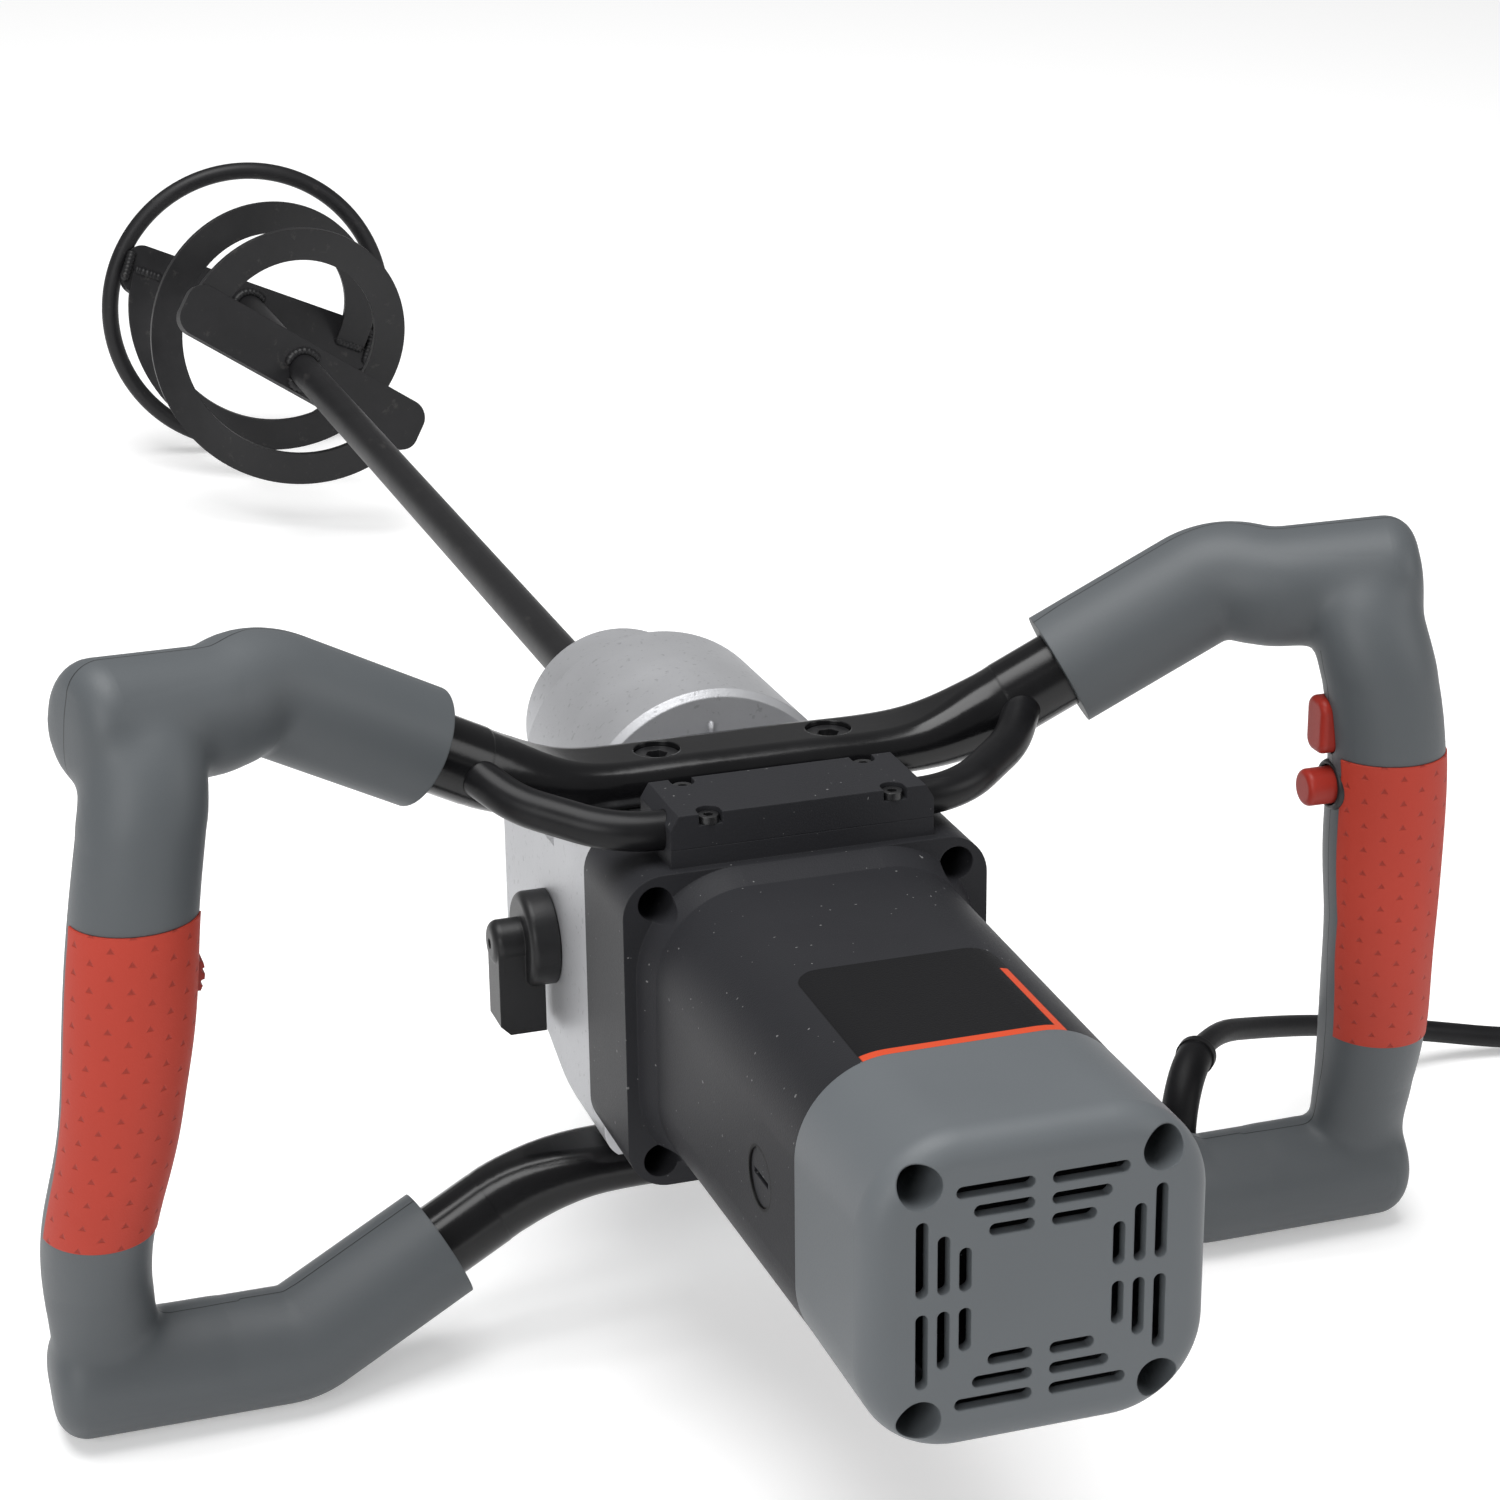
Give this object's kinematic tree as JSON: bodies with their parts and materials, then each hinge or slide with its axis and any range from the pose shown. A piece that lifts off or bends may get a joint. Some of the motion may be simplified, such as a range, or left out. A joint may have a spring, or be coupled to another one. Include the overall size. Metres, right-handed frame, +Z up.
{
  "type": "mixing drill",
  "caption": "Two-handled hand-held mixing drill with a motor in line, a cast gearbox, a tube frame with side grips, a helical paddle with an end ring, and a power cord.",
  "frame": {"origin": "on the floor, below the middle of the machine's length and width, with the machine lying on its lower handle arms and its paddle ring", "axes": "+Y along the floor from the rear cap to the paddle, +X to the handle with the trigger, +Z up"},
  "size_m": [0.6736, 1.0114, 0.2382],
  "materials": {
    "grey_shell": "satin moulded plastic",
    "black_housing": "fine grained moulded plastic",
    "black_tube": "gloss black paint",
    "cast_aluminium": "shot blasted casting",
    "paddle_paint": "satin black paint",
    "grip_red": "soft moulded rubber",
    "control_red": "satin plastic",
    "knob_black": "satin plastic",
    "screw_black": "black oxide",
    "laminations": "stacked sheet steel",
    "copper": "lacquered copper",
    "brass_fittings": "drawn brass",
    "bronze_bushes": "sintered bronze",
    "carbon": "pressed carbon",
    "steel": "ground steel",
    "seal_rubber": "oil resistant rubber",
    "cord_rubber": "matt rubber"
  },
  "bodies": {
    "machine": {"rear_cap": "grey_shell", "cap_screws": "screw_black", "motor_housing": "black_housing", "flange_screws": "screw_black", "clamp_cover": "black_housing", "clamp_screws": "screw_black", "stator_core": "laminations", "field_coils": "copper", "motor_bearings": "steel", "carbon_brushes": "carbon", "brush_holders": "brass_fittings", "brush_caps": "black_housing", "bearing_plate": "cast_aluminium", "gearbox_housing": "cast_aluminium", "gear_bushes": "bronze_bushes", "spindle_bearing": "steel", "retaining_ring": "steel", "oil_seal": "seal_rubber", "upper_frame_tube": "black_tube", "lower_frame_tube": "black_tube", "upper_frame_bolts": "screw_black", "lower_frame_bolts": "screw_black", "cable_conduit": "black_tube", "handle_screws": "screw_black", "switch_body": "knob_black", "speed_control": "knob_black", "strain_relief": "cord_rubber", "right_handle_front": "grey_shell", "right_handle_rear": "grey_shell", "right_grip_pad": "grip_red", "left_handle_front": "grey_shell", "left_handle_rear": "grey_shell", "left_grip_pad": "grip_red", "power_cord": "cord_rubber", "cord_coil": "cord_rubber", "cord_tie": "cord_rubber", "plug": "cord_rubber", "plug_pins": "steel"},
    "spindle": {"spindle": "steel", "output_gear": "steel", "paddle_shaft": "paddle_paint", "paddle_ring": "paddle_paint", "upper_cross_bar": "paddle_paint", "lower_cross_bar": "paddle_paint", "helix_band_a": "paddle_paint", "helix_band_b": "paddle_paint"},
    "countershaft": {"countershaft": "steel", "intermediate_gear": "steel"},
    "armature": {"armature_core": "laminations", "armature_windings": "copper", "commutator": "copper", "armature_shaft": "steel", "cooling_fan": "knob_black"},
    "selector": {"selector_knob": "knob_black", "selector_stem": "steel"},
    "trigger": {"trigger": "control_red"},
    "lock_button": {"lock_button": "control_red"},
    "speed_dial": {"speed_dial": "control_red"}
  },
  "joints": [
    {"name": "spindle_spin", "type": "hinge", "parent": "machine", "child": "spindle", "pos_m": [0, -0.12485, 0.12766], "axis": [0, 0.9958, -0.0914], "continuous": true},
    {"name": "countershaft_spin", "type": "hinge", "parent": "machine", "child": "countershaft", "pos_m": [0.02139, -0.28531, 0.10814], "axis": [0, 0.9958, -0.0914], "continuous": true},
    {"name": "armature_spin", "type": "hinge", "parent": "machine", "child": "armature", "pos_m": [0, -0.28444, 0.1176], "axis": [0, 0.9958, -0.0914], "continuous": true},
    {"name": "selector_turn", "type": "hinge", "parent": "machine", "child": "selector", "pos_m": [-0.0495, -0.24132, 0.10601], "axis": [1, 0, 0], "range_deg": [0, 180]},
    {"name": "trigger_press", "type": "slide", "parent": "machine", "child": "trigger", "axis": [1, 0, 0], "range_m": [0, 0.003], "stiffness_N_per_m": 400},
    {"name": "lock_press", "type": "slide", "parent": "machine", "child": "lock_button", "axis": [1, 0, 0], "range_m": [0, 0.003], "stiffness_N_per_m": 300},
    {"name": "speed_turn", "type": "hinge", "parent": "machine", "child": "speed_dial", "pos_m": [-0.17741, -0.31863, 0.15388], "axis": [0, 0.9958, -0.0914], "range_deg": [0, 270]}
  ],
  "couplings": [
    {"joint": "countershaft_spin", "follows": "spindle_spin", "ratio": -4.1111},
    {"joint": "armature_spin", "follows": "spindle_spin", "ratio": 19.642}
  ]
}
